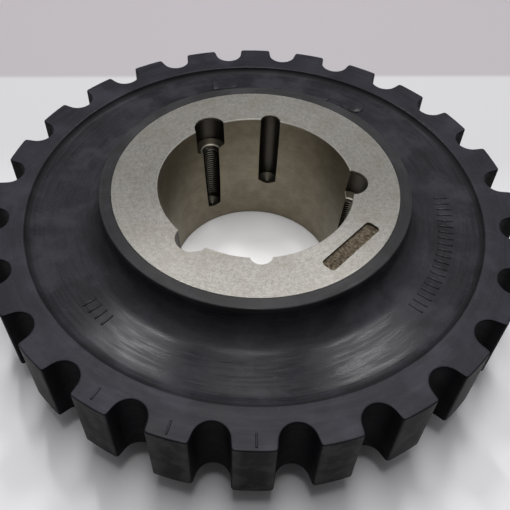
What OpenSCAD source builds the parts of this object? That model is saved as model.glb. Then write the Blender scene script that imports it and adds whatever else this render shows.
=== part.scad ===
// Flexible shaft coupling element: a toothed rubber disc moulded on a hub for a taper bush.
// The axis is Z. The back face of the hub stands on z = 0 and the front face, where the
// half holes for the bush screws open, is on top. A tooth of the rim points along +X.

/* [Hub] */
// Length of the hub from its back face to its front face
hub_len = 88.9; // [82:0.1:100]
// Diameter of the turned hub body inside the rubber
hub_d = 186; // [178:0.5:192]
// Diameter of the taper bore where it meets the front face
bore_d = 127; // [122:0.5:131]
// Angle between the bore wall and the axis, in degrees
bore_taper = 4; // [3:0.5:5]
// Chamfer on the turned edges of the hub and its bore
hub_chamfer = 0.4; // [0.2:0.1:1.5]

/* [Half holes in the bore wall] */
// Diameter of the circle on which the half holes are drilled
hole_circle_d = 123.6; // [120:0.2:126]
// Directions of the threaded half holes, in degrees from +X
screw_angles = [1, 121, 232.5]; // [0:0.5:360]
// Diameter of the counterbore that clears a screw head
head_d = 22; // [17:0.5:24]
// Depth of the counterbore below the front face
head_depth = 19; // [12:0.5:24]
// Major diameter of the thread below the counterbore
screw_d = 12.7; // [10:0.1:16]
// Depth of the threaded hole below the front face
screw_depth = 73.5; // [60:0.5:78]
// Directions of the plain half holes for jacking screws, in degrees from +X
jack_angles = [80.5, 273]; // [0:0.5:360]
// Diameter of a plain half hole
jack_d = 14; // [11:0.5:17]
// Depth of a plain half hole below the front face
jack_depth = 55.5; // [40:0.5:66]
// Point angle of the drills, in degrees
drill_point = 118; // [90:1:140]

/* [Marking pocket in the front face] */
// Length of the pocket along its middle
pocket_len = 46; // [30:0.5:56]
// Width of the pocket
pocket_w = 9.6; // [7:0.1:13]
// Depth of the pocket below the front face
pocket_depth = 1.8; // [0.8:0.1:3]
// Radius of the pocket's corners
pocket_corner = 2.8; // [1:0.1:3.4]
// Distance from the hub's axis to the middle of the pocket
pocket_reach = 77.8; // [75:0.2:80]
// Direction of the pocket, in degrees from +X
pocket_angle = 317; // [295:0.5:340]

/* [Rubber sleeve and disc] */
// Thickness of the rubber sleeve that covers the hub body
sleeve_t = 7.4; // [5:0.1:10]
// Radius of the hollow that runs from the sleeve into each face of the disc
neck_r = 17; // [10:0.5:19]
// Distance from the disc's front face down to the land inside the rim
land_depth = 0.7; // [0.4:0.1:2]
// Width of the land between the disc face and the rim
land_w = 6.4; // [5:0.2:12]
// Radius in the corner between the land and the rim
land_fillet = 1.9; // [0.5:0.1:2.4]
// Radius on the moulded edges of the sleeve and the teeth
mould_edge = 0.8; // [0.4:0.1:1.5]

/* [Toothed rim] */
// Width of the rim along the axis
rim_w = 52.6; // [46:0.1:56]
// Distance from the hub's front face down to the rim's front face
rim_drop = 16.6; // [14:0.1:22]
// Diameter of the rim's inner edge, where it steps down to the land
rim_inner_d = 298; // [290:0.2:308]
// Height of that step
rim_step = 4.7; // [4:0.1:6]
// Radius on the rim's inner edge
rim_edge = 2.2; // [0.5:0.1:2.6]
// Diameter over the tooth tips
tip_d = 348.5; // [344:0.5:354]
// Diameter at the bottom of the tooth gaps
root_d = 319.4; // [314:0.2:324]
// Number of teeth
teeth = 24; // [20:1:25]
// Radius of the rounded bottom of a tooth gap
gap_r = 10; // [8:0.1:10.5]
// Angle by which each wall of a gap opens outwards, in degrees
gap_flare = 12; // [8:1:20]
// Radius on the corners of a tooth tip
tip_corner = 2; // [1:0.1:3]

/* [Hidden] */
$fn = 180;
// Cuts run this far past the face that they open
past = 1;

hub_r = hub_d / 2;
bore_r = bore_d / 2;
bore_small_r = bore_r - hub_len * tan(bore_taper);
hole_circle_r = hole_circle_d / 2;
sleeve_r = hub_r + sleeve_t;

tip_r = tip_d / 2;
root_r = root_d / 2;
rim_inner_r = rim_inner_d / 2;
rim_front = hub_len - rim_drop;
rim_back = rim_front - rim_w;
land_front = rim_front - rim_step;
land_back = rim_back + rim_step;
disc_front = land_front + land_depth;
disc_back = land_back - land_depth;

// Half of the hub's section, with the taper bore and its turned edges
module hub_section() {
    bore_front_edge = bore_r + hub_chamfer;
    bore_back_edge = bore_small_r + hub_chamfer;
    polygon([
        [bore_small_r + hub_chamfer * tan(bore_taper), hub_chamfer],
        [bore_back_edge, 0],
        [hub_r - hub_chamfer, 0],
        [hub_r, hub_chamfer],
        [hub_r, hub_len - hub_chamfer],
        [hub_r - hub_chamfer, hub_len],
        [bore_front_edge, hub_len],
        [bore_r - hub_chamfer * tan(bore_taper), hub_len - hub_chamfer],
    ]);
}

// Length of the cone that a drill of diameter d leaves at the bottom of its hole
function drill_cone(d) = d / 2 / tan(drill_point / 2);

// A plain half hole: one drill, and the cone that it leaves
module jack_hole() {
    bottom = hub_len - jack_depth;
    mouth = hub_len + past;
    rotate_extrude()
        polygon([
            [0, bottom - drill_cone(jack_d)],
            [jack_d / 2, bottom],
            [jack_d / 2, mouth],
            [0, mouth],
        ]);
}

// A threaded half hole: its counterbore ends in the cone of a drill of its own
module screw_hole() {
    bottom = hub_len - screw_depth;
    seat = hub_len - head_depth;
    mouth = hub_len + past;
    rotate_extrude()
        polygon([
            [0, bottom - drill_cone(screw_d)],
            [screw_d / 2, bottom],
            [screw_d / 2, seat - drill_cone(head_d) + drill_cone(screw_d)],
            [head_d / 2, seat],
            [head_d / 2, mouth],
            [0, mouth],
        ]);
}

module at_hole(angle) {
    rotate(angle) translate([hole_circle_r, 0, 0]) children();
}

module pocket_outline() {
    inner = [pocket_w - 2 * pocket_corner, pocket_len - 2 * pocket_corner];
    square([inner.x, pocket_len], center = true);
    square([pocket_w, inner.y], center = true);
    for (x = [-1, 1], y = [-1, 1])
        translate([x * inner.x / 2, y * inner.y / 2]) circle(r = pocket_corner, $fn = 48);
}

module hub() {
    color("silver")
        difference() {
            rotate_extrude() hub_section();
            for (a = screw_angles) at_hole(a) screw_hole();
            for (a = jack_angles) at_hole(a) jack_hole();
            rotate(pocket_angle)
                translate([pocket_reach, 0, hub_len - pocket_depth])
                    linear_extrude(pocket_depth + past) pocket_outline();
        }
}

// What an edge of radius r loses: the corner lies at the origin and the solid at +X, +Y
module edge_loss(r) {
    difference() {
        translate([-past, -past]) square(r + past);
        translate([r, r]) circle(r = r, $fn = 64);
    }
}

// The web that fills an inside corner with radius r: the walls lie along +X and +Y
module web(r) {
    difference() {
        square(r);
        translate([r, r]) circle(r = r);
    }
}

// The space over the land, between the disc and the rim
module land_trough() {
    difference() {
        square([land_w, rim_step]);
        translate([land_w, 0]) mirror([1, 0]) web(land_fillet);
    }
}

// Half of the rubber's section, before the tooth gaps are cut
module rubber_section() {
    difference() {
        union() {
            translate([hub_r, 0]) square([sleeve_t, hub_len]);
            translate([hub_r, disc_back]) square([rim_inner_r - hub_r, disc_front - disc_back]);
            translate([rim_inner_r, rim_back]) square([tip_r - rim_inner_r, rim_w]);
            translate([sleeve_r, disc_front]) web(neck_r);
            translate([sleeve_r, disc_back]) mirror([0, 1]) web(neck_r);
        }
        translate([rim_inner_r - land_w, land_front]) land_trough();
        translate([rim_inner_r - land_w, land_back]) mirror([0, 1]) land_trough();
        translate([sleeve_r, hub_len]) rotate(180) edge_loss(mould_edge);
        translate([sleeve_r, 0]) mirror([1, 0]) edge_loss(mould_edge);
        translate([rim_inner_r, rim_front]) mirror([0, 1]) edge_loss(rim_edge);
        translate([rim_inner_r, rim_back]) edge_loss(rim_edge);
        translate([tip_r, rim_front]) rotate(180) edge_loss(mould_edge);
        translate([tip_r, rim_back]) mirror([1, 0]) edge_loss(mould_edge);
    }
}

// The outline of one tooth gap on +X: a rounded bottom, two flared walls, and the rounded
// corners of the tooth tips on both sides, each a circle that touches the wall and the tips
module gap_outline() {
    along = [cos(gap_flare), sin(gap_flare)];
    into_tooth = [-sin(gap_flare), cos(gap_flare)];
    bottom = [root_r + gap_r, 0];
    wall_start = bottom + gap_r * into_tooth;
    corner_line = wall_start + tip_corner * into_tooth;
    ahead = corner_line * along;
    reach = sqrt(ahead * ahead - corner_line * corner_line + pow(tip_r - tip_corner, 2)) - ahead;
    corner = corner_line + reach * along;
    wall_end = wall_start + reach * along;
    tip_end = corner * tip_r / norm(corner);
    outside = tip_end * (tip_r + past) / tip_r;
    side = [wall_start, wall_end, tip_end, outside];
    difference() {
        union() {
            translate(bottom) circle(r = gap_r, $fn = 96);
            polygon(concat(side, [for (i = [3:-1:0]) [side[i].x, -side[i].y]]));
        }
        for (y = [-1, 1])
            translate([corner.x, y * corner.y]) circle(r = tip_corner, $fn = 48);
    }
}

module rubber_disc() {
    color([0.17, 0.17, 0.18])
        difference() {
            rotate_extrude() rubber_section();
            for (i = [0:teeth - 1])
                rotate((i + 0.5) * 360 / teeth)
                    translate([0, 0, rim_back - past])
                        linear_extrude(rim_w + 2 * past) gap_outline();
        }
}

hub();
rubber_disc();
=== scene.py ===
"""Flexible shaft coupling element: a toothed rubber disc moulded on a turned iron hub."""

from collections import namedtuple
from math import atan2, cos, degrees, pi, radians, sin, sqrt, tan

import bmesh
import bpy
from mathutils import Matrix, Vector


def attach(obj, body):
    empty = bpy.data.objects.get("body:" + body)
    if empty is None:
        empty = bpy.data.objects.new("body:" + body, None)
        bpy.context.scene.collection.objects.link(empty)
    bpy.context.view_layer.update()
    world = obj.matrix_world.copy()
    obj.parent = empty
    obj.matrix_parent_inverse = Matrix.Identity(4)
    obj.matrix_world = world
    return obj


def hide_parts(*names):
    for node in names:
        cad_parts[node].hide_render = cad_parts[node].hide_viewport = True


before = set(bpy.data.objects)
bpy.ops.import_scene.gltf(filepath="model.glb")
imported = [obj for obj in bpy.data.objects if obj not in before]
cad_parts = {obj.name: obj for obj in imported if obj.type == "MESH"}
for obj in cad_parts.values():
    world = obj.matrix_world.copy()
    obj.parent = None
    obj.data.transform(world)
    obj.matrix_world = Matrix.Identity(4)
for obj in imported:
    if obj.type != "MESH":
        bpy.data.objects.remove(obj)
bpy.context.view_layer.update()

# Sizes in millimetres, as in the part's source
HUB_LEN = 88.9
HUB_R = 93.0
BORE_R = 63.5
BORE_TAPER = tan(radians(4))
HOLE_CIRCLE_R = 61.8
SCREW_ANGLES = (1, 121, 232.5)
SCREW_R = 6.35
SLEEVE_R = 100.4
NECK_R = 17.0
HOLLOW_START_R = 142.6
ROOT_R = 159.7
TIP_R = 174.25
TEETH = 24
GAP_R = 10.0
GAP_FLARE = 12
TIP_CORNER = 2.0
MOULD_EDGE = 0.8
DISC_HALF = 22.3
RIM_HALF = 26.3
PITCH_ANGLE = 360 / TEETH

# The rise from the disc to the rim: a shallow hollow, a tight one and the lip. Each is an arc,
# given by its radius and by the slopes in degrees between which it runs.
RISE = ((25.0, 5, 15), (3.6, 15, 75))
RISE_OUT = sum(r * (sin(radians(b)) - sin(radians(a))) for r, a, b in RISE)
RISE_UP = sum(r * (cos(radians(a)) - cos(radians(b))) for r, a, b in RISE)
RIM_SLOPE = RISE[-1][2]
RIM_LIP = (RIM_HALF - DISC_HALF - RISE_UP) / (1 - cos(radians(RIM_SLOPE)))
RIM_FACE_R = HOLLOW_START_R + RISE_OUT + RIM_LIP * sin(radians(RIM_SLOPE))

# Height of the rubber's middle plane, about which both halves of the mould close
MIDDLE = 46.0

# How finely the rubber is drawn. The steps of half a tooth's outline add up to half a sector.
ARC_STEPS = 8
CORNER_STEPS = 4
TIP_STEPS = 2
SECTOR_STEPS = 2 * (ARC_STEPS + 1 + CORNER_STEPS + TIP_STEPS)
EDGE_STEPS = 3
NECK_STEPS = 12
RISE_STEPS = 5
RIM_FACE_CUTS = 3

# Points beside an edge or a curve, which keep the smooth shading from running over it
BESIDE_BOND = 0.15
BESIDE_EDGE = 0.5
BESIDE_TOOTH = 1.2
BESIDE_CURVE = 1.5

# Height and inset of the tooth outlines, from the rim's face down to the middle plane
RIM_ROWS = ((RIM_HALF, BESIDE_TOOTH), (RIM_HALF, 0), (RIM_HALF - BESIDE_TOOTH, 0), (0, 0))

# Raised marks on the front, all of them plain bars and pads: distance from the axis, direction
# in degrees, size along and across the radius, and height over the face
Mark = namedtuple("Mark", "r azimuth along across rise")
TOOTH_TICKS = [
    Mark(r=166.3, azimuth=-120.1, along=8.0, across=1.3, rise=0.5),
    Mark(r=167.9, azimuth=-105.1, along=8.0, across=1.3, rise=0.5),
    Mark(r=168.3, azimuth=-89.7, along=8.0, across=1.3, rise=0.5),
]
BAR_ROW = [Mark(126.0, 3.9 - 2.37 * i, along=9.6, across=1.5, rise=0.6) for i in range(20)]
BAR_GROUP = [Mark(127.6, -131.8 - 2.6 * i, along=9.0, across=1.5, rise=0.6) for i in range(4)]
PADS = [
    Mark(r=132.8, azimuth=100.5, along=10.4, across=19.0, rise=0.6),
    Mark(r=127.0, azimuth=66.4, along=3.4, across=13.6, rise=0.8),
]
ROUND_PAD = Mark(r=130.7, azimuth=55.0, along=14.0, across=19.0, rise=0.6)
MARK_EDGE = 0.45

# The thread of the screw half holes, which starts this far below the hub's front face. One turn
# is drawn down from its start on the root, as radius and distance below that start.
THREAD_START = 22.2
THREAD_PITCH = 25.4 / 12
THREAD_TURNS = 21
THREAD_STEPS = 28
THREAD_ROOT_R = SCREW_R + 0.1
THREAD_CREST_R = SCREW_R - 1.15
THREAD_TURN = ((THREAD_CREST_R, 0.75), (THREAD_CREST_R, 1.3), (THREAD_ROOT_R, 2.1))

# How far the bore's wall bulges past the straight line between a half hole's two edges
WALL_BULGE = 0.28

# Points closer than this are one point
NEAR = 0.01

# Faces that meet at more than this many radians have a sharp edge between them
SHARP = 1.2

MM_PER_METRE = 1000
Y_AXIS, Z_AXIS = (0, 1, 0), (0, 0, 1)


# Drawing with a pen: a chain of edges grows from its last vertex


def start(bm, at):
    return bmesh.ops.create_vert(bm, co=at)["vert"][0]


def line_to(bm, tip, to):
    drawn = bmesh.ops.extrude_vert_indiv(bm, verts=[tip])["verts"][0]
    drawn.co = to
    return drawn


def arc(bm, tip, centre, axis, angle, steps):
    swept = bmesh.ops.spin(
        bm, geom=[tip], cent=centre, axis=axis, angle=radians(angle), steps=steps
    )
    return next(g for g in swept["geom_last"] if isinstance(g, bmesh.types.BMVert))


# Steps that the rubber and the threads share


def turn(bm, verts, angle):
    """Turns vertices round the part's axis."""
    swing = Matrix.Rotation(radians(angle), 3, "Z")
    bmesh.ops.rotate(bm, verts=verts, cent=(0, 0, 0), matrix=swing)


def join(bm, other):
    """Adds the other mesh to this one."""
    carrier = bpy.data.meshes.new("carrier")
    other.to_mesh(carrier)
    other.free()
    bm.from_mesh(carrier)
    bpy.data.meshes.remove(carrier)


def bevel(bm, edges, offset, segments):
    bmesh.ops.bevel(
        bm,
        geom=edges,
        offset=offset,
        offset_type="OFFSET",
        segments=segments,
        profile=0.5,
        affect="EDGES",
        material=-1,
    )


# The rubber: sleeve, disc and toothed rim in one piece


def body_section(bm, end):
    """Half of the section, from the middle of the bonded wall round to the rim's face."""
    edge_r = SLEEVE_R - MOULD_EDGE
    neck_end_r = SLEEVE_R + NECK_R
    neck_top = DISC_HALF + NECK_R
    tip = start(bm, (HUB_R, 0, 0))
    for r in (HUB_R, HUB_R + BESIDE_BOND, edge_r - BESIDE_EDGE, edge_r):
        tip = line_to(bm, tip, (r, 0, end))
    tip = arc(bm, tip, (edge_r, 0, end - MOULD_EDGE), Y_AXIS, 90, EDGE_STEPS)
    tip = line_to(bm, tip, (SLEEVE_R, 0, neck_top))
    tip = arc(bm, tip, (neck_end_r, 0, neck_top), Y_AXIS, -90, NECK_STEPS)
    for r in (neck_end_r + BESIDE_CURVE, HOLLOW_START_R - BESIDE_CURVE, HOLLOW_START_R):
        tip = line_to(bm, tip, (r, 0, DISC_HALF))
    for radius, low, high in RISE:
        up = Vector((-sin(radians(low)), 0, cos(radians(low))))
        tip = arc(bm, tip, tip.co + radius * up, Y_AXIS, low - high, RISE_STEPS)
    arc(bm, tip, (RIM_FACE_R, 0, RIM_HALF - RIM_LIP), Y_AXIS, RIM_SLOPE, RISE_STEPS)


def tooth_outline(bm, height, inset):
    """One tooth on +X seen from above, from gap to gap, as one open chain of edges."""
    flare = radians(GAP_FLARE)
    along = Vector((cos(flare), sin(flare), 0))
    into_tooth = Vector((-sin(flare), cos(flare), 0))
    bottom = Vector((ROOT_R + GAP_R, 0, 0))
    corner_line = bottom + (GAP_R + TIP_CORNER) * into_tooth
    ahead = corner_line.dot(along)
    reach = sqrt(ahead**2 - corner_line.length_squared + (TIP_R - TIP_CORNER) ** 2) - ahead
    corner = corner_line + reach * along
    corner_angle = degrees(atan2(corner.y, corner.x))
    corner_r = TIP_CORNER - inset
    lift = Vector((0, 0, height))

    known_verts, known_edges = set(bm.verts), set(bm.edges)
    tip = start(bm, (ROOT_R - inset, 0, height))
    tip = arc(bm, tip, bottom + lift, Z_AXIS, GAP_FLARE - 90, ARC_STEPS)
    tip = line_to(bm, tip, corner - corner_r * into_tooth + lift)
    tip = arc(bm, tip, corner + lift, Z_AXIS, 90 - GAP_FLARE + corner_angle, CORNER_STEPS)
    arc(bm, tip, lift, Z_AXIS, PITCH_ANGLE / 2 - corner_angle, TIP_STEPS)

    drawn = [v for v in bm.verts if v not in known_verts]
    turn(bm, drawn, -PITCH_ANGLE / 2)
    half = drawn + [e for e in bm.edges if e not in known_edges]
    bmesh.ops.mirror(bm, geom=half, matrix=Matrix.Identity(4), merge_dist=1e-3, axis="Y")
    return [e for e in bm.edges if e not in known_edges]


def on_rim_edge(vert):
    """Whether a vertex of the body lies where the rim's lip meets the rim's face."""
    return abs(vert.co.xy.length - RIM_FACE_R) < NEAR and vert.co.z > RIM_HALF - NEAR


def half_sector(end):
    """One tooth's sector of half the rubber, from the middle plane up to the sleeve's end."""
    bm = bmesh.new()
    body_section(bm, end)
    turn(bm, bm.verts, -PITCH_ANGLE / 2)
    bmesh.ops.spin(
        bm,
        geom=bm.verts[:] + bm.edges[:],
        cent=(0, 0, 0),
        axis=Z_AXIS,
        angle=radians(PITCH_ANGLE),
        steps=SECTOR_STEPS,
    )
    inner = [e for e in bm.edges if all(on_rim_edge(v) for v in e.verts)]
    rows = [tooth_outline(bm, height, inset) for height, inset in RIM_ROWS]
    face = bmesh.ops.bridge_loops(bm, edges=inner + rows[0])
    bmesh.ops.subdivide_edges(bm, edges=face["edges"], cuts=RIM_FACE_CUTS, use_grid_fill=True)
    for row, below in zip(rows, rows[1:]):
        bmesh.ops.bridge_loops(bm, edges=row + below)
    return bm


def toothed_disc():
    """The front and back halves of one tooth's sector, joined and repeated round the axis."""
    bm = half_sector(HUB_LEN - MIDDLE)
    back = half_sector(MIDDLE)
    bmesh.ops.scale(back, vec=(1, 1, -1), verts=back.verts)
    join(bm, back)
    bmesh.ops.remove_doubles(bm, verts=bm.verts, dist=NEAR)
    bmesh.ops.spin(
        bm,
        geom=bm.verts[:] + bm.edges[:] + bm.faces[:],
        cent=(0, 0, 0),
        axis=Z_AXIS,
        angle=radians(360 - PITCH_ANGLE),
        steps=TEETH - 1,
        use_duplicate=True,
    )
    bmesh.ops.remove_doubles(bm, verts=bm.verts, dist=2 * NEAR)
    bmesh.ops.recalc_face_normals(bm, faces=bm.faces)
    return bm


def raised_mark(bm, mark, face_height, sides=4):
    """A low pad with bevelled edges, rooted in the face: square, or round with more sides.

    It starts as a square or a circle one unit across, which is stretched to the mark's size.
    """
    place = (
        Matrix.Rotation(radians(mark.azimuth), 4, "Z")
        @ Matrix.Translation((mark.r, 0, face_height))
        @ Matrix.Diagonal((mark.along, mark.across, 1, 1))
        @ Matrix.Rotation(radians(180 / sides), 4, "Z")
    )
    corner_r = 0.5 / cos(radians(45)) if sides == 4 else 0.5
    pad = bmesh.ops.create_cone(
        bm,
        cap_ends=True,
        segments=sides,
        radius1=corner_r,
        radius2=corner_r,
        depth=2 * mark.rise,
        matrix=place,
    )
    top = face_height + mark.rise - NEAR
    edges = (e for v in pad["verts"] for e in v.link_edges if all(w.co.z > top for w in e.verts))
    bevel(bm, list(dict.fromkeys(edges)), MARK_EDGE, 2)


# The rubber's finishes, in the order of its materials
DISC, RIM, SLEEVE, GAP, TIP = range(5)


def rubber_finish(face):
    """Which finish a face of the rubber has, by where it lies and how it stands."""
    middle = face.calc_center_median()
    r = middle.xy.length
    level = abs(face.normal.z)
    if r > RIM_FACE_R - 0.3:
        past_lip = r > RIM_FACE_R + 3
        past_root = r > ROOT_R - 1
        # Gap and tooth walls get painted shade. So do faces sloping off the rim past the root,
        # which gives a painted dark line along the bevelled tooth edges.
        if past_lip and level < 0.5:
            faces_out = face.normal.xy.dot(middle.xy.normalized()) > 0.8
            return TIP if faces_out and r > TIP_R - 2 else GAP
        return GAP if past_root and level < 0.75 else RIM
    on_sleeve = r < SLEEVE_R + NEAR and abs(middle.z - MIDDLE) > DISC_HALF + NECK_R
    return SLEEVE if on_sleeve else DISC


def rubber_mesh():
    """The rubber with its tooth outlines rounded and its raised marks."""
    bm = toothed_disc()
    outline = [
        e
        for e in bm.edges
        if len(e.link_faces) == 2
        and all(abs(abs(v.co.z) - RIM_HALF) < NEAR for v in e.verts)
        and e.calc_face_angle() > SHARP
    ]
    bevel(bm, outline, MOULD_EDGE, 4)
    for mark in TOOTH_TICKS:
        raised_mark(bm, mark, RIM_HALF)
    for mark in BAR_ROW + BAR_GROUP + PADS:
        raised_mark(bm, mark, DISC_HALF)
    raised_mark(bm, ROUND_PAD, DISC_HALF, sides=40)
    bmesh.ops.translate(bm, verts=bm.verts, vec=(0, 0, MIDDLE))
    for face in bm.faces:
        face.material_index = rubber_finish(face)
    return bm


# The three screw half holes' threads, whose flank faces get painted shade and crest faces pale
# iron
FLANK, CREST = range(2)


def screw_thread(angle):
    """The thread of one half hole: a coil, cut off where the bore opens the hole."""
    bm = bmesh.new()
    top = HUB_LEN - THREAD_START
    tip = start(bm, (THREAD_ROOT_R, 0, top))
    for r, drop in THREAD_TURN:
        tip = line_to(bm, tip, (r, 0, top - drop))
    bmesh.ops.spin(
        bm,
        geom=bm.verts[:] + bm.edges[:],
        cent=(0, 0, 0),
        axis=Z_AXIS,
        dvec=(0, 0, -THREAD_PITCH / THREAD_STEPS),
        angle=radians(360 * THREAD_TURNS),
        steps=THREAD_TURNS * THREAD_STEPS,
    )
    bmesh.ops.translate(bm, verts=bm.verts, vec=(HOLE_CIRCLE_R, 0, 0))
    bmesh.ops.bisect_plane(
        bm,
        geom=bm.verts[:] + bm.edges[:] + bm.faces[:],
        plane_co=(BORE_R - WALL_BULGE, 0, HUB_LEN),
        plane_no=(1, 0, -BORE_TAPER),
        clear_inner=True,
    )
    turn(bm, bm.verts, angle)
    return bm


def thread_mesh():
    bm = bmesh.new()
    for angle in SCREW_ANGLES:
        join(bm, screw_thread(angle))
    bmesh.ops.recalc_face_normals(bm, faces=bm.faces)
    for face in bm.faces:
        face.material_index = CREST if abs(face.normal.z) < 0.3 else FLANK
    return bm


# Patterns and the nodes that work them out


class Pattern:
    """A value that varies from place to place. Arithmetic with patterns gives new patterns."""

    def __init__(self, nodes, socket):
        self.nodes = nodes
        self.socket = socket

    def __add__(self, other):
        return self.nodes.calc("ADD", self, other)

    def __sub__(self, other):
        return self.nodes.calc("SUBTRACT", self, other)

    def __rsub__(self, other):
        return self.nodes.calc("SUBTRACT", other, self)

    def __mul__(self, other):
        return self.nodes.calc("MULTIPLY", self, other)

    def __truediv__(self, other):
        return self.nodes.calc("DIVIDE", self, other)

    def __pow__(self, other):
        return self.nodes.calc("POWER", self, other)

    def __abs__(self):
        return self.nodes.calc("ABSOLUTE", self)

    __radd__ = __add__
    __rmul__ = __mul__

    def at_least(self, other):
        return self.nodes.calc("MAXIMUM", self, other)

    def at_most(self, other):
        return self.nodes.calc("MINIMUM", self, other)

    def ease(self, low, high, out_low=0.0, out_high=1.0):
        """Goes smoothly from out_low to out_high while this pattern goes from low to high."""
        ends = {"From Min": low, "From Max": high, "To Min": out_low, "To Max": out_high}
        return self.nodes.add(
            "ShaderNodeMapRange",
            {"Value": self, **ends},
            "Result",
            interpolation_type="SMOOTHSTEP",
        )

    def fade(self, low, high):
        """1 up to low, and smoothly down to 0 at high."""
        return self.ease(low, high, 1.0, 0.0)

    def band(self, low, high, edge):
        """1 between low and high, fading to 0 over the width of edge outside them."""
        return self.ease(low - edge, low) * self.fade(high, high + edge)


class Nodes:
    """A node tree that patterns are worked out in."""

    def __init__(self, tree):
        self.tree = tree

    def set(self, socket, value):
        """Gives a socket a pattern, or a colour, vector or number that is the same all over."""
        if isinstance(value, Pattern):
            self.tree.links.new(value.socket, socket)
        elif socket.type == "RGBA":
            socket.default_value = (*value, 1)
        else:
            socket.default_value = value

    def add(self, kind, inputs, output=0, **settings):
        """Adds a node with its settings and inputs, and gives one of its outputs."""
        node = self.tree.nodes.new(kind)
        for name, setting in settings.items():
            setattr(node, name, setting)
        for name, value in inputs.items():
            self.set(node.inputs[name], value)
        return Pattern(self, node.outputs[output])

    def calc(self, operation, a, b=0.0):
        return self.add("ShaderNodeMath", {0: a, 1: b}, operation=operation)

    def split(self, vector):
        """The X, Y and Z of a vector."""
        node = self.tree.nodes.new("ShaderNodeSeparateXYZ")
        self.set(node.inputs[0], vector)
        return [Pattern(self, part) for part in node.outputs]

    def vector(self, x, y, z):
        return self.add("ShaderNodeCombineXYZ", {"X": x, "Y": y, "Z": z})


# Strokes that a tool or the mould leaves round the axis come this often in a radian
STROKES_PER_RADIAN = 5.0

SHADER_INPUTS = {
    "color": "Base Color",
    "metal": "Metallic",
    "rough": "Roughness",
    "grain": "Anisotropic",
    "normal": "Normal",
    "gloss": "Specular IOR Level",
}


class Finish(Nodes):
    """A material whose patterns are measured in millimetres on the piece."""

    def __init__(self, name):
        self.material = bpy.data.materials.new(name)
        self.material.use_nodes = True
        super().__init__(self.material.node_tree)
        self.shader = self.tree.nodes["Principled BSDF"]
        place = self.add("ShaderNodeTexCoord", {}, "Object")
        self.mm = self.add("ShaderNodeMapping", {"Vector": place, "Scale": (MM_PER_METRE,) * 3})
        self.x, self.y, self.z = self.split(self.mm)
        self.r = self.calc("SQRT", self.x**2 + self.y**2)

    def noise(self, size, detail=2.0, rough=0.5, vector=None):
        """Noise from 0 to 1 whose spots are about size millimetres across."""
        grain = {"Scale": 1 / size, "Detail": detail, "Roughness": rough}
        return self.add("ShaderNodeTexNoise", {"Vector": vector or self.mm, **grain}, "Fac")

    def strokes(self, width, detail=3.0):
        """Noise drawn out round the axis, in strokes that are about width millimetres wide."""
        reach = self.r.at_least(1.0)
        east = self.x / reach * STROKES_PER_RADIAN
        north = self.y / reach * STROKES_PER_RADIAN
        return self.noise(1.0, detail, 0.6, self.vector(east, north, (self.r + self.z) / width))

    def scratches(self, heading, length, width):
        """Fine straight scratches of that length and width, lying at heading degrees to X."""
        lean = radians(heading)
        along = self.x * (cos(lean) / length) + self.y * (sin(lean) / length)
        across = self.x * (-sin(lean) / width) + self.y * (cos(lean) / width)
        return self.noise(1.0, 1, 0.5, self.vector(along, across, self.z)).ease(0.66, 0.76)

    def beside_tooth_middle(self):
        """Distance in millimetres, round the axis, from the middle of the nearest tooth."""
        teeth = self.calc("ARCTAN2", self.y, self.x) / radians(PITCH_ANGLE)
        beside = self.calc("FRACT", teeth + 0.5) - 0.5
        return abs(beside) * (TIP_R * radians(PITCH_ANGLE))

    def mix(self, share, a, b):
        """Colour a, changed to colour b as far as share says."""
        return self.add("ShaderNodeMix", {0: share, 6: a, 7: b}, 2, data_type="RGBA")

    def bump(self, height, depth, below=None):
        """Raises the surface by height times depth in millimetres, over the bump below."""
        inputs = {"Height": height, "Distance": depth / MM_PER_METRE}
        if below:
            inputs["Normal"] = below
        return self.add("ShaderNodeBump", inputs)

    def grain_along_radius(self):
        """Points the shader's tangent out from the axis on faces and along it on walls."""
        self.set(self.shader.inputs["Tangent"], self.vector(self.x, self.y, self.r))

    def wear(self, **looks):
        """Gives the shader its looks, and returns the finished material."""
        for name, value in looks.items():
            self.set(self.shader.inputs[SHADER_INPUTS[name]], value)
        return self.material


# The iron's colours. Where there are two, the first is the darker one.
FACED = ((0.143, 0.137, 0.1245), (0.238, 0.229, 0.213))
FACE_STAIN = (0.150, 0.136, 0.112)
BORED = ((0.210, 0.182, 0.132), (0.275, 0.244, 0.186))
# A painted highlight on the bore's thin front edge
BORE_EDGE_PAINTED_HIGHLIGHT = (0.60, 0.58, 0.53)
DRILLED = ((0.054, 0.049, 0.042), (0.082, 0.074, 0.063))
DRILLED_CONE = (0.070, 0.061, 0.044)
DRILLED_POINT = (0.115, 0.104, 0.082)
SEAT_LIP = (0.50, 0.47, 0.40)
POCKET_FLOOR = ((0.065, 0.048, 0.032), (0.185, 0.157, 0.115))
# Painted shade: the thread's flanks, near black between the crests
THREAD_FLANK_PAINTED_SHADE = ((0.014, 0.012, 0.010), (0.042, 0.038, 0.031))
THREAD_CREST = ((0.160, 0.149, 0.122), (0.340, 0.320, 0.270))

# Distances from the axis that tell the hub's surfaces apart: the bore's front edge, which has a
# painted highlight, the edge of what can be the marking pocket, and the limit of the half holes
BORE_EDGE_R = 63.7
PAST_BORE_R = 66
PAST_HOLES_R = 74.5


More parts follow.
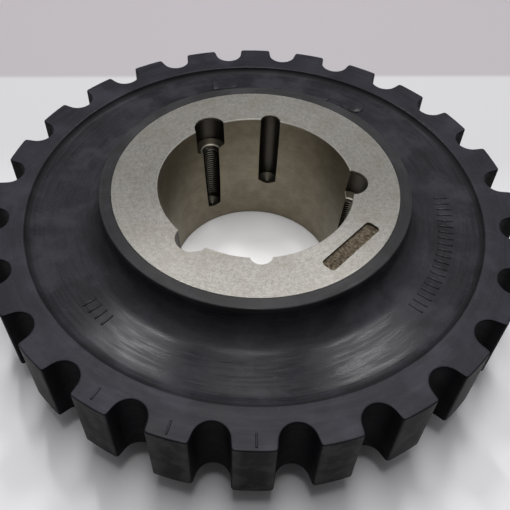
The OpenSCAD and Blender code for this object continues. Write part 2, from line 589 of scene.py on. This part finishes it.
def turned_iron():
    """Turned and faced iron, with the taper bore, the half holes and the rough pocket floor."""
    iron = Finish("turned_iron")

    # 1 on level faces, 0 on upright walls, and 0.86 on the cones that the drills leave
    level = abs(iron.split(iron.add("ShaderNodeNewGeometry", {}, "Normal"))[2])

    # Where each surface lies: 1 on it and 0 elsewhere
    depth = HUB_LEN - iron.z
    below_face = depth.ease(0.9, 1.2)
    behind_wall = (iron.r - (BORE_R - depth * BORE_TAPER)).ease(0.25, 0.6)
    bored = below_face * (1 - behind_wall)
    drilled = behind_wall * below_face * iron.r.fade(PAST_HOLES_R, PAST_HOLES_R + 0.5)
    cone = level.band(0.8, 0.89, 0.03) * drilled
    seat_lip = cone * depth.band(21.6, 26.0, 0.6)
    point = cone * depth.ease(30, 32)
    pocket = depth.band(0.95, 2.2, 0.1) * iron.r.ease(PAST_BORE_R, PAST_BORE_R + 1)

    speck = iron.noise(0.9, 3, 0.7)
    mottle = iron.noise(2.6, 3, 0.6)
    stain = iron.noise(18, 3, 0.6).ease(0.45, 0.7)
    tool = iron.strokes(0.8, 4)
    grain = speck * 0.5 + mottle * 0.3 + tool * 0.2
    blotch = iron.noise(9, 4, 0.6) * 0.6 + tool * 0.4

    face_color = iron.mix(grain.ease(0.36, 0.64), *FACED)
    face_color = iron.mix(stain * 0.4, face_color, FACE_STAIN)
    # A painted highlight along the bore's front edge
    face_color = iron.mix(iron.r.fade(BORE_EDGE_R, BORE_EDGE_R + 0.3), face_color, BORE_EDGE_PAINTED_HIGHLIGHT)
    bore_color = iron.mix(blotch.ease(0.35, 0.65), *BORED)
    hole_color = iron.mix(iron.noise(5, 2), *DRILLED)
    hole_color = iron.mix(cone, hole_color, DRILLED_CONE)
    hole_color = iron.mix(seat_lip, hole_color, SEAT_LIP)
    hole_color = iron.mix(point, hole_color, DRILLED_POINT)
    pocket_color = iron.mix(iron.noise(1.6, 4, 0.65).ease(0.35, 0.65), *POCKET_FLOOR)
    color = iron.mix(bored, face_color, bore_color)
    color = iron.mix(drilled, color, hole_color)
    color = iron.mix(pocket, color, pocket_color)

    rough = 0.355 + grain * 0.1 + pocket * 0.3 + cone * 0.15
    tool_marks = (tool * 0.5 + speck * 0.5) * (1 - drilled)
    pits = iron.noise(2.2, 4, 0.6) * pocket
    normal = iron.bump(pits, 0.9, iron.bump(tool_marks, 0.035))
    iron.grain_along_radius()
    return iron.wear(color=color, metal=0.95, rough=rough, grain=0.48, normal=normal)


def thread_iron(name, colors, rough):
    """Iron of the thread, drawn near black on the flanks as painted shade, and pale on the
    crest.
    """
    iron = Finish(name)
    color = iron.mix(iron.noise(2.5, 3), *colors)
    normal = iron.bump(iron.noise(0.5), 0.01)
    return iron.wear(color=color, metal=0.9, rough=rough, normal=normal)


# The rubber's colours
DISC_SHADE = (0.0205, 0.0205, 0.0245)
RIM_SHADE = (0.0172, 0.0165, 0.0225)
SLEEVE_SHADE = (0.0184, 0.0183, 0.0198)
# Painted shade: the walls of the gaps, in the same rubber drawn far darker than the rim
GAP_PAINTED_SHADE = (0.0016, 0.0015, 0.0026)
# Painted shade: the teeth's outer faces, in the same rubber drawn far darker than the rim
TIP_PAINTED_SHADE = (0.0020, 0.0020, 0.0023)
# Painted shade in the steep crease where the hollow meets the rim
CREASE_PAINTED_SHADE = (0.005, 0.005, 0.006)
# Pale colour of dusty patches on the teeth, and of a painted sheen towards their sides
DUST_AND_SHEEN = (0.075, 0.074, 0.071)


def worn_black(rubber, shade, tone, cloud):
    """The rubber's colour: its shade with dark and light spots, haze and fine scratches."""
    dark, light, pale = (tuple(share * c for c in shade) for share in (0.6, 1.5, 2.0))
    haze = rubber.noise(30, 5, 0.6).ease(0.48, 0.68)
    scratch = rubber.scratches(-24, 14, 0.9).at_least(rubber.scratches(62, 18, 0.8))
    scratch = scratch * cloud.ease(0.4, 0.6)
    color = rubber.mix(tone.ease(0.3, 0.7), dark, light)
    color = rubber.mix(haze * 0.7, color, pale)
    return rubber.mix(scratch * 0.6, color, pale)


def moulded_rubber(name, shade, rough, gloss, grain=0.0):
    """Black rubber with strokes round the axis; grain draws its shine out from the axis."""
    rubber = Finish(name)
    streak = rubber.strokes(1.5, 4)
    broad = rubber.strokes(5.0, 3)
    fine = rubber.noise(1.1, 4, 0.6)
    cloud = rubber.noise(26, 3, 0.55)
    tone = (fine * 0.45 + cloud * 0.55) * 0.6 + streak * 0.4
    color = worn_black(rubber, shade, tone, cloud)
    lines = streak * 0.5 + broad * 0.5
    spread = rough - 0.05 + tone * 0.1 + lines.ease(0.40, 0.60, -0.048, 0.048)
    if grain:
        rubber.grain_along_radius()
        neck = rubber.r.ease(101, 103) * rubber.r.fade(112, 117)
        # Painted shade in the crease before the rim, which is also made duller
        crease = rubber.r.band(RIM_FACE_R - 3.5, RIM_FACE_R - 0.9, 0.5)
        color = rubber.mix(crease * 0.5, color, CREASE_PAINTED_SHADE)
        spread = spread + (neck + crease) * 0.3
        normal = rubber.bump(streak, 0.036, rubber.bump(fine, 0.012))
    else:
        normal = rubber.bump(streak, 0.06, rubber.bump(fine, 0.06))
    return rubber.wear(color=color, rough=spread, grain=grain, gloss=gloss, normal=normal)


def tooth_tip_rubber(name, shade, rough, gloss, dust_and_sheen):
    """Black rubber drawn darker than the rim as painted shade, paler in dusty patches, and paler
    still towards a tooth's sides, which are dusty and carry a painted sheen.
    """
    rubber = Finish(name)
    fine = rubber.noise(1.1, 4, 0.6)
    cloud = rubber.noise(26, 3, 0.55)
    tone = fine * 0.45 + cloud * 0.55
    color = worn_black(rubber, shade, tone, cloud)
    patch = rubber.noise(12, 5, 0.6).ease(0.42, 0.62)
    # Paler towards a tooth's sides: dusty there, and with a painted sheen
    edge = rubber.beside_tooth_middle().ease(5.5, 9.5)
    color = rubber.mix((patch + edge * 0.6).at_most(1.3) * dust_and_sheen, color, DUST_AND_SHEEN)
    spread = rough - 0.05 + tone * 0.1
    normal = rubber.bump(fine, 0.05)
    return rubber.wear(color=color, rough=spread, grain=0.0, gloss=gloss, normal=normal)


# The coupling's pieces


def finish_piece(bm, name, materials, smooth=True):
    """Turns a mesh drawn in millimetres into a piece that rides on the part."""
    bm.transform(Matrix.Scale(1 / MM_PER_METRE, 4))
    mesh = bpy.data.meshes.new(name)
    bm.to_mesh(mesh)
    bm.free()
    if smooth:
        mesh.shade_smooth()
    piece = bpy.data.objects.new(name, mesh)
    bpy.context.scene.collection.objects.link(piece)
    for material in materials:
        mesh.materials.append(material)
    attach(piece, "root")
    return piece


rubber = finish_piece(
    rubber_mesh(),
    "moulded_rubber",
    [
        moulded_rubber("rubber_disc_face", DISC_SHADE, rough=0.212, gloss=0.09, grain=0.85),
        moulded_rubber("rubber_rim", RIM_SHADE, rough=0.42, gloss=0.12),
        moulded_rubber("rubber_sleeve", SLEEVE_SHADE, rough=0.41, gloss=0.19, grain=0.8),
        moulded_rubber("rubber_gap_painted_shade", GAP_PAINTED_SHADE, rough=0.60, gloss=0.05),
        tooth_tip_rubber("rubber_tip_painted_shade", TIP_PAINTED_SHADE, rough=0.50, gloss=0.055, dust_and_sheen=0.28),
    ],
)
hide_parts("rubber_disc")

finish_piece(
    thread_mesh(),
    "cut_threads",
    [
        thread_iron("thread_flank_painted_shade", THREAD_FLANK_PAINTED_SHADE, rough=0.5),
        thread_iron("thread_crest", THREAD_CREST, rough=0.35),
    ],
    smooth=False,
)

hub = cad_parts["hub"]
hub.material_slots[0].material = turned_iron()


# The floor, drawn darker towards the back and past its far edge, and with painted light inside
# the bore
BENCH_EDGE = 238.8
BENCH_SKEW = -0.038
BENCH_TOP = ((0.775, 0.77, 0.79), (0.835, 0.83, 0.85))
BENCH_BACK = (0.63, 0.625, 0.64)
# Painted light: the floor drawn lighter inside the bore, where the hub shades it
INSIDE_BORE_PAINTED_LIGHT = (0.95, 0.945, 0.95)
PAST_BENCH = (0.48, 0.453, 0.475)


def bench():
    top = Finish("bench")
    color = top.mix(top.noise(140, 2), *BENCH_TOP)
    color = top.mix(top.y.ease(20, 140), color, BENCH_BACK)
    # Painted light on the floor inside the bore
    color = top.mix(top.r.fade(50, 70), color, INSIDE_BORE_PAINTED_LIGHT)
    past_edge = (top.y + top.x * BENCH_SKEW).ease(BENCH_EDGE - 4, BENCH_EDGE + 4)
    color = top.mix(past_edge, color, PAST_BENCH)
    return top.wear(color=color, rough=0.6, gloss=0.1)


floor_bm = bmesh.new()
bmesh.ops.create_grid(floor_bm, x_segments=1, y_segments=1, size=3)
floor_mesh = bpy.data.meshes.new("floor")
floor_bm.to_mesh(floor_mesh)
floor_bm.free()
floor = bpy.data.objects.new("floor", floor_mesh)
bpy.context.scene.collection.objects.link(floor)
floor_mesh.materials.append(bench())


# Lights: a long lamp overhead, a little behind the part, and two smaller ones high behind it
LAMP_AIM = Vector((0, 0, 0.06))


def lamp(name, azimuth, elevation, distance, width, length, level):
    """An area lamp aimed at the part; level is the brightness of its surface."""
    light = bpy.data.lights.new(name, "AREA")
    light.shape = "RECTANGLE"
    light.size = width
    light.size_y = length
    light.energy = level * width * length * pi
    obj = bpy.data.objects.new(name, light)
    a, e = radians(azimuth), radians(elevation)
    towards = Vector((cos(a) * cos(e), sin(a) * cos(e), sin(e)))
    obj.location = towards * distance + LAMP_AIM
    obj.rotation_mode = "QUATERNION"
    obj.rotation_quaternion = towards.to_track_quat("Z", "Y")
    bpy.context.scene.collection.objects.link(obj)


lamp("overhead", azimuth=90, elevation=86.0, distance=1.8, width=0.32, length=1.11, level=13.5)
lamp("left_lamp", azimuth=113, elevation=60.3, distance=2.0, width=0.10, length=0.3, level=78.0)
lamp("right_lamp", azimuth=65, elevation=59.3, distance=2.0, width=0.26, length=0.3, level=31.0)


def room():
    """The room's light: brightest behind the part, to its sides and high up."""
    world = bpy.data.worlds.new("room")
    world.use_nodes = True
    sky = Nodes(world.node_tree)
    x, y, z = sky.split(sky.add("ShaderNodeTexCoord", {}, "Generated"))
    behind = y.ease(-0.25, 0.35, 0.07, 0.36)
    high = z.ease(0.58, 0.72, 0.4, 1.0)
    beside = (x * x).ease(0.0, 0.04, 0.50, 2.8)
    background = sky.tree.nodes["Background"]
    sky.set(background.inputs["Strength"], behind * high * beside)
    sky.set(background.inputs["Color"], (0.99, 0.99, 1.0))
    bpy.context.scene.world = world


room()
bpy.context.scene.view_settings.view_transform = "Standard"


# The camera stands where the photograph was taken

camera_data = bpy.data.cameras.new("camera")
camera_data.sensor_width = 36
camera_data.lens = 47.465
camera_data.shift_x = 0.0128
camera_data.shift_y = -0.0329
camera_data.clip_start = 0.01
camera = bpy.data.objects.new("camera", camera_data)
stand = (-0.00836, -0.31303, 0.39231)
heading, dip, roll = radians(-0.852), radians(48.9375), 0.02953
camera.matrix_world = (
    Matrix.Translation(stand)
    @ Matrix.Rotation(heading, 4, "Z")
    @ Matrix.Rotation(pi / 2 - dip, 4, "X")
    @ Matrix.Rotation(roll, 4, "Z")
)
bpy.context.scene.collection.objects.link(camera)
bpy.context.scene.camera = camera
